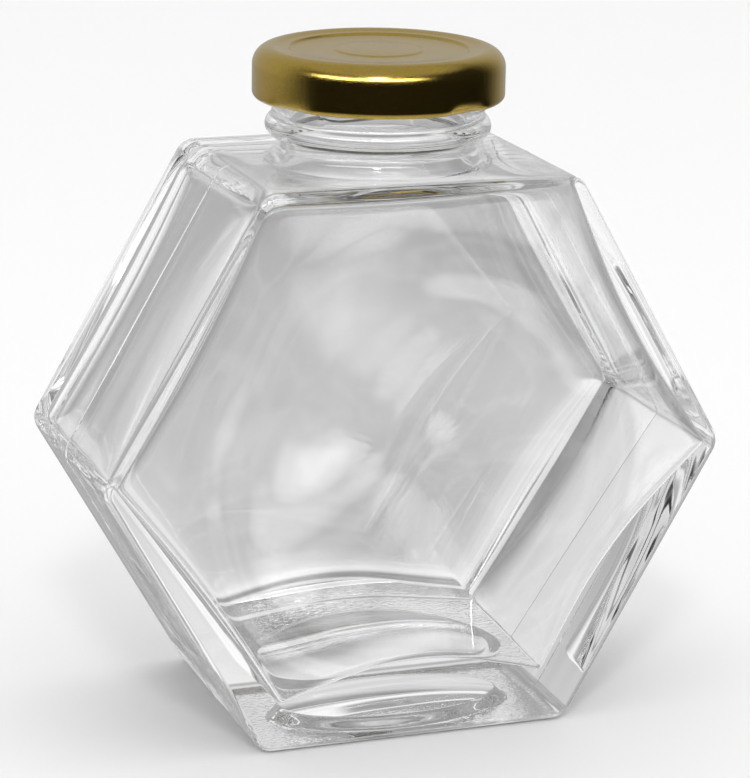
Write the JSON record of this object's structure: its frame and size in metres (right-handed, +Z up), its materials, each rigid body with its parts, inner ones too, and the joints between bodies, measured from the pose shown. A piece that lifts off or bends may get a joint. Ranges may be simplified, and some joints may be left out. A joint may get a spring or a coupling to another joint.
{
  "type": "hexagonal jar",
  "caption": "Clear glass food jar shaped as a flat upright hexagon, with a heavy base, a short beaded neck and a gold twist-off metal lid.",
  "frame": {"origin": "middle of the base, on the surface that the jar stands on", "axes": "+Z up through the neck and lid, +X along the hexagon's widest corners, -Y towards the front hexagonal face"},
  "size_m": [0.1296, 0.0578, 0.1359],
  "materials": {
    "clear_glass": "clear, fire-polished, slightly wavy",
    "gold_lacquered_steel": "satin gold lacquer over tinplate"
  },
  "bodies": {
    "root": {"glass_jar": "clear_glass", "lid": "gold_lacquered_steel"}
  },
  "joints": []
}
